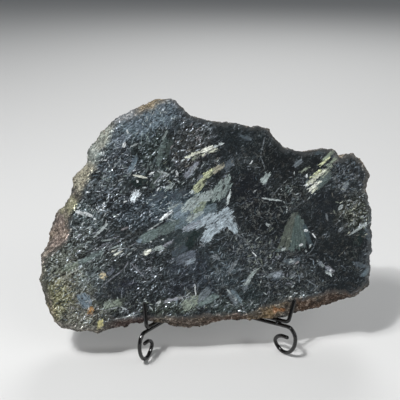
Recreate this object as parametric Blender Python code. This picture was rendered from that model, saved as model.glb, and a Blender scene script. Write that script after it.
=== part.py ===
"""Polished nuummite slab leaning back on a small black wire easel.

Built in metres, +Z up, front towards -Y, origin at the middle of the underside of the bounding box.
The slab is one thick slice of stone: a flat polished face, a rough rind flaring out behind it, a sawn back.
The easel is one welded frame: two legs with scroll feet, two hooks with prongs, a bar and a rear leg.
Lengths below are millimetres; "v" runs up the polished face, "d" runs back into the stone from it.
"""

import math

import bmesh
import bpy
from mathutils import Vector, noise

LEAN = math.radians(20.0)
FACE_Y = 2.6
FACE_Z = 29.0
THICK = 30.3
BACK_INSET = 7.0
CENTRE = (-6.0, 74.0)
RIM_OUT = 0.4
RIM_DEPTH = 6.0
LONG_STEP = 4.0
EDGE_JAG = (0.9, 0.9, 3.0)
RIND_JAG = (0.7, 0.7, 9.0)
DEPTH_JAG = (0.9, 0.15, 20.0)
HOOK_CLEAR_V = -1.2
HOOK_ZONES = ((-62.0, -33.5), (26.5, 62.0))
HOOK_ZONE_TOP = 12.0

# Rings of the rind: share of the way, inset and roughness. The first three run from the polished
# face's edge out to the widest line, the others from there in to the sawn back.
OUTER_RINGS = [(0.0, 0.0), (0.45, 0.6), (1.0, 0.25)]
INNER_RINGS = [
    (0.28, 0.3, 1.0), (0.55, 1.4, 1.0), (0.80, 3.2, 1.0), (0.94, 5.0, 0.8), (1.0, BACK_INSET, 0.4),
]

# Roughness of the rind: grain across, grain in depth, place in the noise, height in mm.
LUMPS = (0.055, 0.07, 5.0, 1.5)
PITS = (0.21, 0.25, 11.0, 1.1)
LEDGE_GRAIN = (0.03, 0.16, 0.30, 7.0)
LEDGE_LINE = 0.12
LEDGE_OUT = 0.7
LEDGE_IN = -0.3

WIRE_R = 1.4
GAP = 0.3
FOOT_SINK = 0.25
SCROLL_X = 50.2
SCROLL_Z = 11.9
LEFT_TURN = math.radians(26.0)
RIGHT_TURN = math.radians(36.0)
LEDGE_V = -6.0
UPRIGHT_D = THICK + GAP + WIRE_R
APEX_X = -1.5
APEX_V = 112.0
BAR_V = 62.0
BEND_R = 5.0
HOOK_BEND_R = 3.0
REAR_BEND_R = 4.0
LEDGE_STOPS = (2.5, 9.0)
HOOK_BACK_D = UPRIGHT_D - BEND_R - 1.0
SIDE_STEP = 2 * WIRE_R + GAP
REAR_LOW_V = APEX_V - 9.0
REAR_OVER_V = APEX_V + 8.0
REAR_BEHIND = (APEX_V + 6.0, UPRIGHT_D + 10.0)
REAR_FOOT_Y = 98.0
REAR_TOE = 12.0
BAR_OVERHANG = 3.0

TUBE_ROUND = 3
PATH_STEPS = 4
ARC_STEPS = 6
DOME = [(0.35, 0.94), (0.65, 0.76), (0.87, 0.49), (0.97, 0.24)]
MERGE = 0.0001

# One row a side: name, side, turn of the leg, then the hook's sideways shift, lean and prong length.
SIDES = (
    ("left", -1, LEFT_TURN, 1.0, math.radians(3.0), 17.2),
    ("right", 1, RIGHT_TURN, 1.4, math.radians(17.0), 15.8),
)

SHARP = math.radians(35.0)
STONE = (0.055, 0.065, 0.068)
STONE_ROUGHNESS = 0.25
BLACK = (0.012, 0.012, 0.013)
LACQUER_ROUGHNESS = 0.3
METRES = 0.001

# The polished face's edge, clockwise from the peak, seen from the front: x, v.
# Three more numbers where rough rind shows beyond it: x, v and depth of the rind's widest line.
EDGE = [
    (-33.5, 156.5, -33.5, 157.5, 5), (-28.0, 156.5, -27.5, 157.5, 5), (-25.5, 155.5, -25.0, 156.0, 5),
    (-21.5, 152.0), (-17.0, 147.0), (-14.0, 145.0), (-8.0, 143.0), (-1.0, 141.5), (5.5, 140.0),
    (13.0, 139.0), (20.5, 138.5), (24.0, 137.0), (28.5, 136.0), (32.0, 137.0), (36.0, 135.5),
    (40.0, 134.0), (42.0, 131.0), (45.5, 127.0), (51.5, 121.0), (56.5, 120.0), (60.0, 118.5),
    (66.0, 118.0), (76.5, 119.5), (86.0, 119.5), (88.0, 118.0), (91.0, 113.0), (94.5, 113.5),
    (100.5, 116.5), (105.5, 112.0), (108.0, 109.0), (111.0, 104.0), (113.0, 100.0), (111.0, 96.5),
    (109.5, 90.0), (111.0, 82.5), (113.5, 76.0), (113.5, 68.5), (112.5, 62.5), (114.0, 59.0),
    (113.5, 50.5), (114.0, 45.5), (112.0, 42.5), (112.0, 36.5), (112.5, 32.5), (111.5, 28.0),
    (111.5, 23.0, 113.0, 19.5, 6), (106.0, 18.5, 108.5, 16.5, 6), (100.5, 14.0, 103.5, 12.0, 6),
    (97.0, 13.5, 99.0, 11.0, 6), (94.0, 15.5, 96.0, 11.0, 6), (90.0, 17.0, 91.5, 9.0, 7),
    (85.5, 17.0, 86.5, 7.5, 7), (79.5, 15.5, 80.5, 6.0, 7), (73.5, 14.0, 74.0, 4.5, 7),
    (68.0, 12.5, 67.5, 3.5, 6), (63.5, 11.0, 62.5, 2.5, 6), (57.5, 12.0, 57.0, 2.0, 5),
    (52.5, 13.0, 52.5, 0.5, 4), (48.5, 11.5, 48.0, -1.0, 3.5), (44.0, 10.0, 43.5, -1.2, 3),
    (39.0, 8.5, 38.5, -1.2, 3), (34.0, 7.5, 33.5, -1.2, 3.5), (31.0, 5.5, 29.5, -1.2, 4),
    (27.5, 2.5, 24.5, -2.4, 4), (21.0, 2.5, 20.0, -1.4, 4), (11.5, 3.0, 11.5, -1.5, 5),
    (3.0, 3.0, 3.5, -2.0, 5), (-5.5, 3.0, -4.5, -4.0, 6), (-12.5, 2.5, -12.0, -6.0, 6),
    (-18.5, 2.0, -18.5, -6.5, 6), (-25.5, 1.5, -25.5, -5.8, 6), (-32.0, 2.5, -31.5, -4.4, 5),
    (-39.5, 3.0, -39.5, -1.0, 4), (-46.5, 3.5, -47.0, 0.0, 4), (-53.5, 3.0, -54.0, -1.0, 4),
    (-60.5, 3.0, -61.0, -3.5, 5), (-67.5, 2.5, -68.0, -4.0, 6), (-73.5, 2.0, -74.0, -5.0, 6),
    (-77.5, -2.0, -79.5, -6.0, 5), (-84.0, -4.0, -84.5, -7.0, 5), (-89.0, -3.0, -91.0, -5.0, 5),
    (-93.5, -3.0, -95.5, -5.5, 5), (-98.5, -3.0, -100.0, -5.5, 5), (-103.5, -1.0, -105.0, -3.5, 6),
    (-108.0, 0.5, -110.0, -2.5, 6), (-111.5, 4.0, -113.5, 0.5, 7), (-114.0, 11.5, -118.0, 7.5, 8),
    (-115.0, 17.0, -120.0, 14.0, 9), (-118.0, 24.0, -121.5, 23.0, 8), (-120.0, 30.5, -123.0, 29.5, 7),
    (-121.0, 34.0, -124.0, 32.0, 7), (-119.5, 38.0, -122.0, 36.5, 7), (-120.0, 46.0, -122.5, 45.0, 7),
    (-118.5, 49.5, -122.0, 50.0, 8), (-115.0, 52.5, -120.5, 54.0, 10), (-111.0, 55.5, -117.5, 58.5, 12),
    (-106.5, 58.5, -117.0, 62.5, 13), (-103.0, 62.0, -116.5, 66.0, 14), (-101.5, 67.0, -115.5, 69.5, 14),
    (-102.0, 72.0, -113.5, 74.0, 13), (-101.0, 76.5, -112.0, 78.0, 13), (-100.0, 80.0, -108.5, 81.5, 12),
    (-96.5, 87.0, -104.0, 86.0, 11), (-94.0, 89.5, -101.0, 89.5, 10), (-93.0, 94.0, -100.0, 93.0, 10),
    (-91.0, 97.0, -99.0, 98.0, 11), (-89.0, 100.5, -99.0, 103.5, 12), (-87.0, 105.0, -97.0, 106.0, 12),
    (-86.5, 108.0, -93.5, 108.5, 11), (-83.0, 110.0, -90.5, 111.5, 11), (-81.5, 113.5, -88.5, 116.0, 10),
    (-81.5, 118.0, -88.0, 121.0, 10), (-79.0, 122.0, -85.5, 125.0, 10), (-75.0, 125.0, -81.0, 130.5, 10),
    (-72.5, 130.0, -77.5, 135.5, 10), (-71.0, 136.0, -73.0, 138.5, 8), (-67.5, 141.5, -70.0, 143.0, 8),
    (-63.5, 143.0, -65.0, 145.5, 8), (-58.0, 144.0, -60.0, 148.0, 9), (-54.5, 145.5, -55.0, 150.5, 9),
    (-49.5, 148.0, -49.5, 153.0, 9), (-44.0, 150.0, -44.5, 156.0, 9), (-40.5, 153.5, -41.0, 157.0, 7),
    (-37.5, 156.5, -37.5, 157.5, 5),
]

# The scroll foot, from its inner end out to the ledge: outward from the scroll's middle, up from it.
SCROLL = [
    (1.5, 2.8), (-3.6, 1.6), (-7.6, -1.2), (-9.7, -5.2), (-7.6, -8.7), (-3.0, -10.5), (1.6, -9.9),
    (5.2, -7.4), (8.1, -2.6), (9.4, 3.2), (8.7, 8.0), (6.2, 11.0), (3.0, 12.2),
]
SCROLL_SOLE = -9.0


def on_face(x, v, d):
    """Point from its place on the leaning face and its depth behind it."""
    return Vector(
        (
            x,
            FACE_Y + v * math.sin(LEAN) + d * math.cos(LEAN),
            FACE_Z + v * math.cos(LEAN) - d * math.sin(LEAN),
        )
    )


def new_material(name, colour, roughness):
    material = bpy.data.materials.new(name)
    material.use_nodes = True
    shader = material.node_tree.nodes["Principled BSDF"]
    shader.inputs["Base Color"].default_value = (*colour, 1.0)
    shader.inputs["Roughness"].default_value = roughness
    return material


def add_part(name, bm, material, collection):
    mesh = bpy.data.meshes.new(name)
    bm.to_mesh(mesh)
    bm.free()
    mesh.materials.append(material)
    mesh.shade_smooth()
    mesh.set_sharp_from_angle(angle=SHARP)
    part = bpy.data.objects.new(name, mesh)
    collection.objects.link(part)
    return part


def jagged(x, v, jag):
    """Wander of an edge in mm, from its height, its grain and its place in the noise."""
    height, grain, place = jag
    return height * noise.noise(Vector((x * grain, v * grain, place)))


def fine_edge():
    """The edge list with the straight-cut stretches filled in and long steps halved, for a ragged rim."""
    rows = []
    for row in EDGE:
        if len(row) == 2:
            away = Vector((row[0] - CENTRE[0], row[1] - CENTRE[1])).normalized()
            row = (row[0], row[1], row[0] + RIM_OUT * away.x, row[1] + RIM_OUT * away.y, RIM_DEPTH)
        rows.append(row)
    fine = []
    for i, row in enumerate(rows):
        after = rows[(i + 1) % len(rows)]
        fine.append(row)
        step = Vector((after[0] - row[0], after[1] - row[1]))
        if step.length < LONG_STEP:
            continue
        side = Vector((-step.y, step.x)).normalized()
        middle = [(a + b) / 2 for a, b in zip(row, after)]
        jag = jagged(middle[0], middle[1], EDGE_JAG)
        wide = jagged(middle[2], middle[3], RIND_JAG)
        fine.append(
            (
                middle[0] + side.x * jag,
                middle[1] + side.y * jag,
                middle[2] + side.x * wide,
                middle[3] + side.y * wide,
                middle[4],
            )
        )
    return fine


def rough(x, v, d, amount):
    """Lumps and pits of the natural rind, in mm outward, with a few step-like ledges."""
    out = 0.0
    for across, deep, place, height in (LUMPS, PITS):
        out += height * noise.noise(Vector((x * across, v * across, d * deep + place)))
    across, up, deep, place = LEDGE_GRAIN
    ledge = noise.noise(Vector((x * across + place, v * up, d * deep)))
    return amount * (out + (LEDGE_OUT if ledge > LEDGE_LINE else LEDGE_IN))


def clear_of_hooks(x, v):
    """The underside, kept above the hooks where they run beneath it."""
    if v < HOOK_ZONE_TOP and any(low < x < high for low, high in HOOK_ZONES):
        return max(v, HOOK_CLEAR_V)
    return v


def slab(material, collection):
    bm = bmesh.new()
    rings = []
    edge = fine_edge()
    for share, amount in OUTER_RINGS:
        ring = []
        for x0, v0, x1, v1, depth in edge:
            x = x0 + (x1 - x0) * share
            v = v0 + (v1 - v0) * share
            ring.append((x, v, depth * share, amount))
        rings.append(ring)
    for share, inset, amount in INNER_RINGS:
        ring = []
        for x0, v0, x1, v1, depth in edge:
            reach = math.hypot(x1 - CENTRE[0], v1 - CENTRE[1])
            keep = 1.0 - inset / reach
            x = CENTRE[0] + (x1 - CENTRE[0]) * keep
            v = CENTRE[1] + (v1 - CENTRE[1]) * keep
            ring.append((x, v, depth + (THICK - depth) * share, amount))
        rings.append(ring)
    widest = len(OUTER_RINGS) - 1
    made = []
    for number, ring in enumerate(rings):
        row = []
        for x, v, d, amount in ring:
            away = Vector((x - CENTRE[0], v - CENTRE[1])).normalized()
            out = rough(x, v, d, amount)
            if number == widest:
                out = min(out, 0.0)
            x += away.x * out
            v += away.y * out
            if 0 < number < len(rings) - 1:
                height, grain, place = DEPTH_JAG
                d += jagged(x, v, (height, grain, place + number))
            row.append(bm.verts.new(on_face(x, clear_of_hooks(x, v), d)))
        made.append(row)
    count = len(edge)
    for near, far in zip(made, made[1:]):
        for i in range(count):
            j = (i + 1) % count
            bm.faces.new((near[i], near[j], far[j], far[i]))
    bm.faces.new(made[0])
    bm.faces.new(made[-1])
    bmesh.ops.triangulate(bm, faces=bm.faces[:], ngon_method="BEAUTY")
    bmesh.ops.recalc_face_normals(bm, faces=bm.faces[:])
    return add_part("slab", bm, material, collection)


def smooth_path(points, steps):
    """Curve through all the points, with this many short steps between two of them."""
    spread = [2 * points[0] - points[1]] + points + [2 * points[-1] - points[-2]]
    path = []
    for i in range(1, len(spread) - 2):
        a, b, c, d = spread[i - 1 : i + 3]
        for k in range(steps):
            t = k / steps
            path.append(
                0.5
                * (
                    2 * b
                    + (c - a) * t
                    + (2 * a - 5 * b + 4 * c - d) * t * t
                    + (3 * b - a - 3 * c + d) * t**3
                )
            )
    path.append(points[-1].copy())
    return path


def round_corner(before, corner, after, radius):
    """Points of an arc that replaces a sharp corner of the wire."""
    a = (before - corner).normalized()
    b = (after - corner).normalized()
    half = a.angle(b) / 2
    back = radius / math.tan(half)
    middle = corner + (a + b).normalized() * radius / math.sin(half)
    start = corner + a * back - middle
    end = corner + b * back - middle
    sweep = start.angle(end)
    arc = []
    for k in range(ARC_STEPS + 1):
        t = k / ARC_STEPS
        arc.append(
            middle + (start * math.sin((1 - t) * sweep) + end * math.sin(t * sweep)) / math.sin(sweep)
        )
    return arc


def wire(name, path, material, collection, round_start=False, round_end=False, on_table=False):
    """One closed round wire along the path; rounded tips where asked, cut flat where it meets the table."""
    knots = [(point, 1.0) for point in path]
    if round_end:
        along = (path[-1] - path[-2]).normalized() * WIRE_R
        knots += [(path[-1] + along * step, size) for step, size in DOME]
    if round_start:
        along = (path[0] - path[1]).normalized() * WIRE_R
        knots = [(path[0] + along * step, size) for step, size in reversed(DOME)] + knots
    curve = bpy.data.curves.new(name, "CURVE")
    curve.dimensions = "3D"
    curve.bevel_depth = WIRE_R
    curve.bevel_resolution = TUBE_ROUND
    curve.use_fill_caps = True
    spline = curve.splines.new("POLY")
    spline.points.add(len(knots) - 1)
    for knot, (point, size) in zip(spline.points, knots):
        knot.co = (*point, 1.0)
        knot.radius = size
    maker = bpy.data.objects.new(name + "_path", curve)
    bm = bmesh.new()
    bm.from_mesh(maker.to_mesh())
    maker.to_mesh_clear()
    bpy.data.objects.remove(maker)
    bpy.data.curves.remove(curve)
    bmesh.ops.remove_doubles(bm, verts=bm.verts[:], dist=MERGE)
    if on_table:
        cut = bmesh.ops.bisect_plane(
            bm,
            geom=bm.verts[:] + bm.edges[:] + bm.faces[:],
            dist=MERGE,
            plane_co=(0, 0, 0),
            plane_no=(0, 0, -1),
            clear_outer=True,
        )
        rim = [item for item in cut["geom_cut"] if isinstance(item, bmesh.types.BMEdge)]
        bmesh.ops.holes_fill(bm, edges=rim, sides=0)
    bmesh.ops.triangulate(bm, faces=bm.faces[:])
    bmesh.ops.recalc_face_normals(bm, faces=bm.faces[:])
    return add_part(name, bm, material, collection)


def in_leg_plane(side, turn, outward, up):
    return Vector(
        (
            side * (SCROLL_X + outward * math.sin(turn)),
            -outward * math.cos(turn),
            SCROLL_Z + up,
        )
    )


def on_ledge(side, turn, v, d, shift=0.0):
    """Point of the ledge under the slab: in the leg's own upright plane, at this depth behind the face."""
    point = on_face(0.0, v, d)
    outward = -point.y / math.cos(turn)
    point.x = side * (SCROLL_X + outward * math.sin(turn)) + shift
    return point


def leg(name, side, turn, material, collection):
    foot = [in_leg_plane(side, turn, s, z - (FOOT_SINK if z < SCROLL_SOLE else 0.0)) for s, z in SCROLL]
    foot += [on_ledge(side, turn, LEDGE_V, d) for d in LEDGE_STOPS]
    path = smooth_path(foot, PATH_STEPS)
    corner = on_ledge(side, turn, LEDGE_V, UPRIGHT_D)
    apex = on_face(APEX_X + side * SIDE_STEP, APEX_V, UPRIGHT_D)
    path += round_corner(path[-1], corner, apex, BEND_R)
    path.append(apex)
    return wire(name, path, material, collection, round_start=True, round_end=True, on_table=True)


def hook(name, side, turn, shift, lean, length, material, collection):
    v = LEDGE_V + SIDE_STEP
    front = -(WIRE_R + GAP)
    corner = on_ledge(side, turn, v, front, shift)
    up = Vector(
        (side * math.sin(lean), math.sin(LEAN) * math.cos(lean), math.cos(LEAN) * math.cos(lean))
    )
    tip = corner + up * length
    back = on_ledge(side, turn, v, HOOK_BACK_D, shift)
    path = [back] + round_corner(back, corner, tip, HOOK_BEND_R) + [tip]
    return wire(name, path, material, collection, round_end=True)


def rear_leg(material, collection):
    """Wire that rises between the uprights, turns over and comes down behind to a short flat foot."""
    low = on_face(APEX_X, REAR_LOW_V, UPRIGHT_D)
    over = on_face(APEX_X, REAR_OVER_V, UPRIGHT_D)
    behind = on_face(APEX_X, *REAR_BEHIND)
    heel_z = WIRE_R - FOOT_SINK
    heel = Vector((APEX_X, REAR_FOOT_Y, heel_z))
    toe = Vector((APEX_X, REAR_FOOT_Y + REAR_TOE, heel_z))
    first = round_corner(low, over, behind, REAR_BEND_R)
    second = round_corner(first[-1], behind, heel, REAR_BEND_R)
    third = round_corner(second[-1], heel, toe, REAR_BEND_R)
    path = [low] + first + second + third + [toe]
    return wire("rear_leg", path, material, collection, round_start=True, round_end=True, on_table=True)


def cross_bar(material, collection):
    """Bar welded behind the two uprights."""
    ends = []
    for row in SIDES:
        side, turn = row[1:3]
        low = on_ledge(side, turn, LEDGE_V, UPRIGHT_D)
        top = APEX_X + side * SIDE_STEP
        share = (BAR_V - LEDGE_V) / (APEX_V - LEDGE_V)
        ends.append(low.x + (top - low.x) * share + side * BAR_OVERHANG)
    path = [on_face(x, BAR_V, UPRIGHT_D + SIDE_STEP) for x in ends]
    return wire("cross_bar", path, material, collection, round_start=True, round_end=True)


def to_base(parts):
    """Turn millimetres into metres about the middle of the underside of the bounding box."""
    corners = [v.co for part in parts for v in part.data.vertices]
    low = [min(c[k] for c in corners) for k in range(3)]
    high = [max(c[k] for c in corners) for k in range(3)]
    shift = Vector(((low[0] + high[0]) / 2, (low[1] + high[1]) / 2, 0.0))
    for part in parts:
        for vertex in part.data.vertices:
            vertex.co = (vertex.co - shift) * METRES
        part.data.update()
    print("shift", [round(value, 3) for value in shift], "size", [round(h - l, 2) for l, h in zip(low, high)])


def main():
    for item in list(bpy.data.objects):
        bpy.data.objects.remove(item)
    collection = bpy.data.collections.new("polished_nuummite")
    bpy.context.scene.collection.children.link(collection)
    stone = new_material("nuummite", STONE, STONE_ROUGHNESS)
    parts = [slab(stone, collection)]
    for name, side, turn, shift, lean, length in SIDES:
        iron = new_material(name + "_leg_iron", BLACK, LACQUER_ROUGHNESS)
        parts.append(leg(name + "_leg", side, turn, iron, collection))
        iron = new_material(name + "_hook_iron", BLACK, LACQUER_ROUGHNESS)
        parts.append(hook(name + "_hook", side, turn, shift, lean, length, iron, collection))
    for name, make in (("cross_bar", cross_bar), ("rear_leg", rear_leg)):
        parts.append(make(new_material(name + "_iron", BLACK, LACQUER_ROUGHNESS), collection))
    to_base(parts)


main()
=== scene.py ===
# Polished nuummite slab leaning on a black wire easel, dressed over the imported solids.
import math
import random
from functools import partial

import bpy
import numpy as np
from mathutils import Matrix, Vector, kdtree


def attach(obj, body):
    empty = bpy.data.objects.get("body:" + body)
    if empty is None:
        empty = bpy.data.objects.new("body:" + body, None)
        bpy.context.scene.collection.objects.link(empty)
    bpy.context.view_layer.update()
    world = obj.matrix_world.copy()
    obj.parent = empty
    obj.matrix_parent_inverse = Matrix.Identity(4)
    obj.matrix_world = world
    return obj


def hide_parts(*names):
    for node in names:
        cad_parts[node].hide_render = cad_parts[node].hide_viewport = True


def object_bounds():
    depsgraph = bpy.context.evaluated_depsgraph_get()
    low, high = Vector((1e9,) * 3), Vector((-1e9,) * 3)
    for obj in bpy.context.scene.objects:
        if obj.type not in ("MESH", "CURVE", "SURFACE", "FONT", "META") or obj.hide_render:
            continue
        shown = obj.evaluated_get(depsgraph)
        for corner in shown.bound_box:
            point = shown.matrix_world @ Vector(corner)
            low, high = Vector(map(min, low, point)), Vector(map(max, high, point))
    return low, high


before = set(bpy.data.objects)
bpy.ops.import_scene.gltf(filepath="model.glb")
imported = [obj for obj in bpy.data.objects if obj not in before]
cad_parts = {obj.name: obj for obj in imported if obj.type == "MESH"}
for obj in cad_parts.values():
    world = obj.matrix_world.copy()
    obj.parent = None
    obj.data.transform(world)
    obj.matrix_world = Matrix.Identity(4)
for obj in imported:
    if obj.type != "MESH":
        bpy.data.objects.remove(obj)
cadBox = [list(corner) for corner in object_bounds()]
print("frame loaded")

perMetre = 1000.0  # millimetres
mergeWithin = 0.000002
noiseMiddle = 0.5

# where the polished face stands, in metres, once the slab is stood upright, and how far it leans back
faceSet = {"lean": math.radians(20.0), "planeY": -0.055176, "thick": 0.0303}

# the photograph's camera: place in metres, lens and sensor in mm, and the picture's pixels
cameraSet = {
    "place": (-0.0332, -0.4309, 0.286),
    "ahead": (0.0642, 0.9176, -0.3924),
    "turn": math.radians(4.0),
    "lens": 57.6,
    "sensor": 36.0,
    "pixels": 400.0,
}


def hexToLinear(code):
    parts = [int(code[i:i + 2], 16) / 255 for i in (1, 3, 5)]
    return [p / 12.92 if p <= 0.04045 else ((p + 0.055) / 1.055) ** 2.4 for p in parts]


def solid(code):
    return (*hexToLinear(code), 1)


def usedSocket(sockets, name):
    # sockets that the node's settings leave in use, by name or by number
    used = [socket for socket in sockets if socket.enabled]
    return used[name] if isinstance(name, int) else next(s for s in used if s.name == name)


def setInputs(node, inputs):
    # inputs by name or in their order: a plain value, a socket, or a node whose first output it takes
    for name, value in inputs.items() if isinstance(inputs, dict) else enumerate(inputs):
        if isinstance(value, bpy.types.Node):
            value = usedSocket(value.outputs, 0)
        if isinstance(value, bpy.types.NodeSocket):
            node.id_data.links.new(value, usedSocket(node.inputs, name))
        else:
            usedSocket(node.inputs, name).default_value = value


# in the settings below a noise is scale, detail and roughness, and a band is the map range's numbers
def addNode(tree, kind, inputs=(), operation=None, **settings):
    node = tree.nodes.new("ShaderNode" + kind)
    if operation:
        node.operation = operation
    for name, value in settings.items():
        setattr(node, name, value)
    setInputs(node, inputs)
    return node


def newMaterial(name):
    material = bpy.data.materials.new(name)
    material.use_nodes = True
    tree = material.node_tree
    return material, partial(addNode, tree), tree.nodes["Principled BSDF"]


def onlyThis(piece):
    bpy.ops.object.select_all(action="DESELECT")
    piece.select_set(True)
    bpy.context.view_layer.objects.active = piece


def readField(items, name, width, kind=float):
    # one field of every point, face or corner, a row to each where it holds several numbers
    values = np.zeros(len(items) * width, dtype=kind)
    items.foreach_get(name, values)
    return values.reshape(-1, width) if width > 1 else values


def pointPlaces(piece):
    return readField(piece.data.vertices, "co", 3)


def editWhole(piece, operator, **settings):
    onlyThis(piece)
    bpy.ops.object.mode_set(mode="EDIT")
    bpy.ops.mesh.select_all(action="SELECT")
    operator(**settings)
    bpy.ops.object.mode_set(mode="OBJECT")


def mergedCopy(nodeName, pieceName):
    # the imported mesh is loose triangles, so a copy of it is merged before it is worked on
    piece = bpy.data.objects.new(pieceName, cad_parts[nodeName].data.copy())
    bpy.context.scene.collection.objects.link(piece)
    piece.data.materials.clear()
    editWhole(piece, bpy.ops.mesh.remove_doubles, threshold=mergeWithin)
    return piece


def applyModifier(piece, name, kind, **settings):
    modifier = piece.modifiers.new(name, kind)
    for key, value in settings.items():
        setattr(modifier, key, value)
    onlyThis(piece)
    bpy.ops.object.modifier_apply(modifier=modifier.name)


def cloudTexture(name, size, kind="CLOUDS"):
    texture = bpy.data.textures.new(name, kind)
    texture.noise_scale = size
    return texture


def keepInside(piece):
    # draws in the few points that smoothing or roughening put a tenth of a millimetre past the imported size
    co = np.clip(pointPlaces(piece), *cadBox)
    piece.data.vertices.foreach_set("co", co.ravel())
    piece.data.update()


# the camera is made first, because the stone's markings are placed through it
def makeCamera():
    ahead = Vector(cameraSet["ahead"]).normalized()
    right = Vector((math.cos(cameraSet["turn"]), -math.sin(cameraSet["turn"]), 0.0))
    up = right.cross(ahead).normalized()
    right = ahead.cross(up).normalized()
    place = Matrix((right, up, -ahead)).transposed().to_4x4()
    place.translation = Vector(cameraSet["place"])
    data = bpy.data.cameras.new("camera")
    data.lens = cameraSet["lens"]
    data.sensor_width = cameraSet["sensor"]
    camera = bpy.data.objects.new("camera", data)
    camera.matrix_world = place
    bpy.context.scene.collection.objects.link(camera)
    bpy.context.scene.camera = camera
    return right, up, ahead


cameraAxes = makeCamera()


def facePoint(x, y):
    # spot of the polished plane that shows at this photograph pixel: millimetres across and up the face
    right, up, ahead = cameraAxes
    focal = cameraSet["lens"] / cameraSet["sensor"] * cameraSet["pixels"]
    half = cameraSet["pixels"] / 2
    stand = Matrix.Rotation(faceSet["lean"], 3, "X")
    start = stand @ Vector(cameraSet["place"])
    ray = stand @ (ahead + right * (x - half) / focal - up * (y - half) / focal)
    point = start + ray * ((faceSet["planeY"] - start.y) / ray.y)
    return np.array([point.x, point.z]) * perMetre


print("camera placed")


# the slab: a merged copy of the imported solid, remeshed fine enough to carry its markings; all in metres
slabSet = {
    "voxel": 0.00075,
    "flatBand": 0.00025,  # this close to either flat is drawn exactly onto it
    "rindStart": 0.0003,  # how far behind a flat the rind's roughness starts, and over what depth it grows
    "rindGrowth": 0.0012,
    "edgeBand": (0.0002, 0.0012),  # depth behind a flat of the points that mark its edge
    "edgeSearch": 0.004,  # depth past which no point is near the edge
    "rimReach": 0.0030,  # how far from the edge the outline is still ragged
    "rimRagged": 0.0011,
    "rimClouds": (("X", 0.0022), ("Z", 0.0044)),  # direction and size of the raggedness
    "rimDetail": 3,
    # name, texture, size and depth of the rind's roughness
    "rough": (
        ("lumps", "VORONOI", 0.0050, 0.0016),
        ("pits", "CLOUDS", 0.0022, 0.0016),
        ("grit", "CLOUDS", 0.0011, 0.0006),
    ),
    "mid": 0.58,  # a little above the textures' middle, so that the rind loses more than it gains
    "thinBehind": 0.0005,  # the rind and the back are thinned out, the polished face isn't
    "triangles": 190000,
    "weightSteps": 20,
    "polishedBand": 0.00002,  # faces this close to the front plane are polished, and to the back plane sawn
    "sawnBand": 0.0005,
    "smoothUnder": math.radians(40),
}


def weightGroup(piece, name, weights):
    group = piece.vertex_groups.new(name=name)
    count = slabSet["weightSteps"]
    steps = np.round(weights * count).astype(int)
    for step in range(1, count + 1):
        chosen = np.nonzero(steps == step)[0]
        group.add([int(i) for i in chosen], step / count, "REPLACE")


def standUp(piece, angle):
    piece.rotation_euler = (angle, 0.0, 0.0)
    onlyThis(piece)
    bpy.ops.object.transform_apply(location=False, rotation=True, scale=False)


def rimReach(co, depth, within):
    # distance of each point from the edge of the flat that depth is measured from, up to a limit
    near, far = slabSet["edgeBand"]
    rimPoints = co[(depth > near) & (depth < far)]
    tree = kdtree.KDTree(len(rimPoints))
    for i, point in enumerate(rimPoints):
        tree.insert(point, i)
    tree.balance()
    reach = np.full(len(co), within)
    for i in np.nonzero(depth < slabSet["edgeSearch"])[0]:
        reach[i] = min(within, tree.find(co[i])[2])
    return reach


def flattenFlats(slab, levels):
    # draws what lies on the polished plane, and on the sawn back, exactly flat
    bpy.ops.object.mode_set(mode="EDIT")
    for level in levels:
        bpy.ops.mesh.select_all(action="DESELECT")
        bpy.ops.object.mode_set(mode="OBJECT")
        near = np.abs(pointPlaces(slab)[:, 1] - level) < slabSet["flatBand"]
        slab.data.vertices.foreach_set("select", near)
        bpy.ops.object.mode_set(mode="EDIT")
        bpy.ops.mesh.select_mode(type="VERT")
        bpy.ops.transform.resize(value=(1, 0, 1), center_override=(0, level, 0))
    bpy.ops.object.mode_set(mode="OBJECT")


def weighZones(slab, frontY, backY):
    # the rind between the two flats, the zone around both edges, and what may be thinned out
    co = pointPlaces(slab)
    depth = co[:, 1] - frontY
    start, growth = slabSet["rindStart"], slabSet["rindGrowth"]
    rind = np.clip((depth - start) / growth, 0, 1) * np.clip((backY - co[:, 1] - start) / growth, 0, 1)
    weightGroup(slab, "rind", rind)
    frontRim = rimReach(co, depth, slabSet["rimReach"])
    backRim = rimReach(co, backY - co[:, 1], slabSet["rimReach"])
    weightGroup(slab, "rim", 1 - np.minimum(frontRim, backRim) / slabSet["rimReach"])
    weightGroup(slab, "thin", (depth > slabSet["thinBehind"]).astype(float))


def makeSlab():
    slab = mergedCopy("slab", "nuummite_slab")
    standUp(slab, faceSet["lean"])
    applyModifier(slab, "fine skin", "REMESH", mode="VOXEL", voxel_size=slabSet["voxel"])
    frontY = faceSet["planeY"]
    backY = frontY + faceSet["thick"]
    flattenFlats(slab, (frontY, backY))
    weighZones(slab, frontY, backY)
    print("slab skin", len(slab.data.vertices), "points")

    # ragged outline, then lumps, pits and grit
    for axis, size in slabSet["rimClouds"]:
        cloud = cloudTexture("rim " + axis, size)
        cloud.noise_depth = slabSet["rimDetail"]
        applyModifier(
            slab, "rim " + axis, "DISPLACE", texture=cloud, direction=axis, strength=slabSet["rimRagged"],
            mid_level=noiseMiddle, vertex_group="rim",
        )
    for name, kind, size, deep in slabSet["rough"]:
        applyModifier(
            slab, name, "DISPLACE", texture=cloudTexture(name, size, kind), strength=deep,
            mid_level=slabSet["mid"], vertex_group="rind",
        )
    slab.data.calc_loop_triangles()
    keep = slabSet["triangles"] / len(slab.data.loop_triangles)
    applyModifier(slab, "thin out", "DECIMATE", ratio=keep, vertex_group="thin")
    slab.vertex_groups.clear()
    slab.data.calc_loop_triangles()
    print("slab shaped", len(slab.data.loop_triangles), "triangles")
    return slab


slab = makeSlab()


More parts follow.
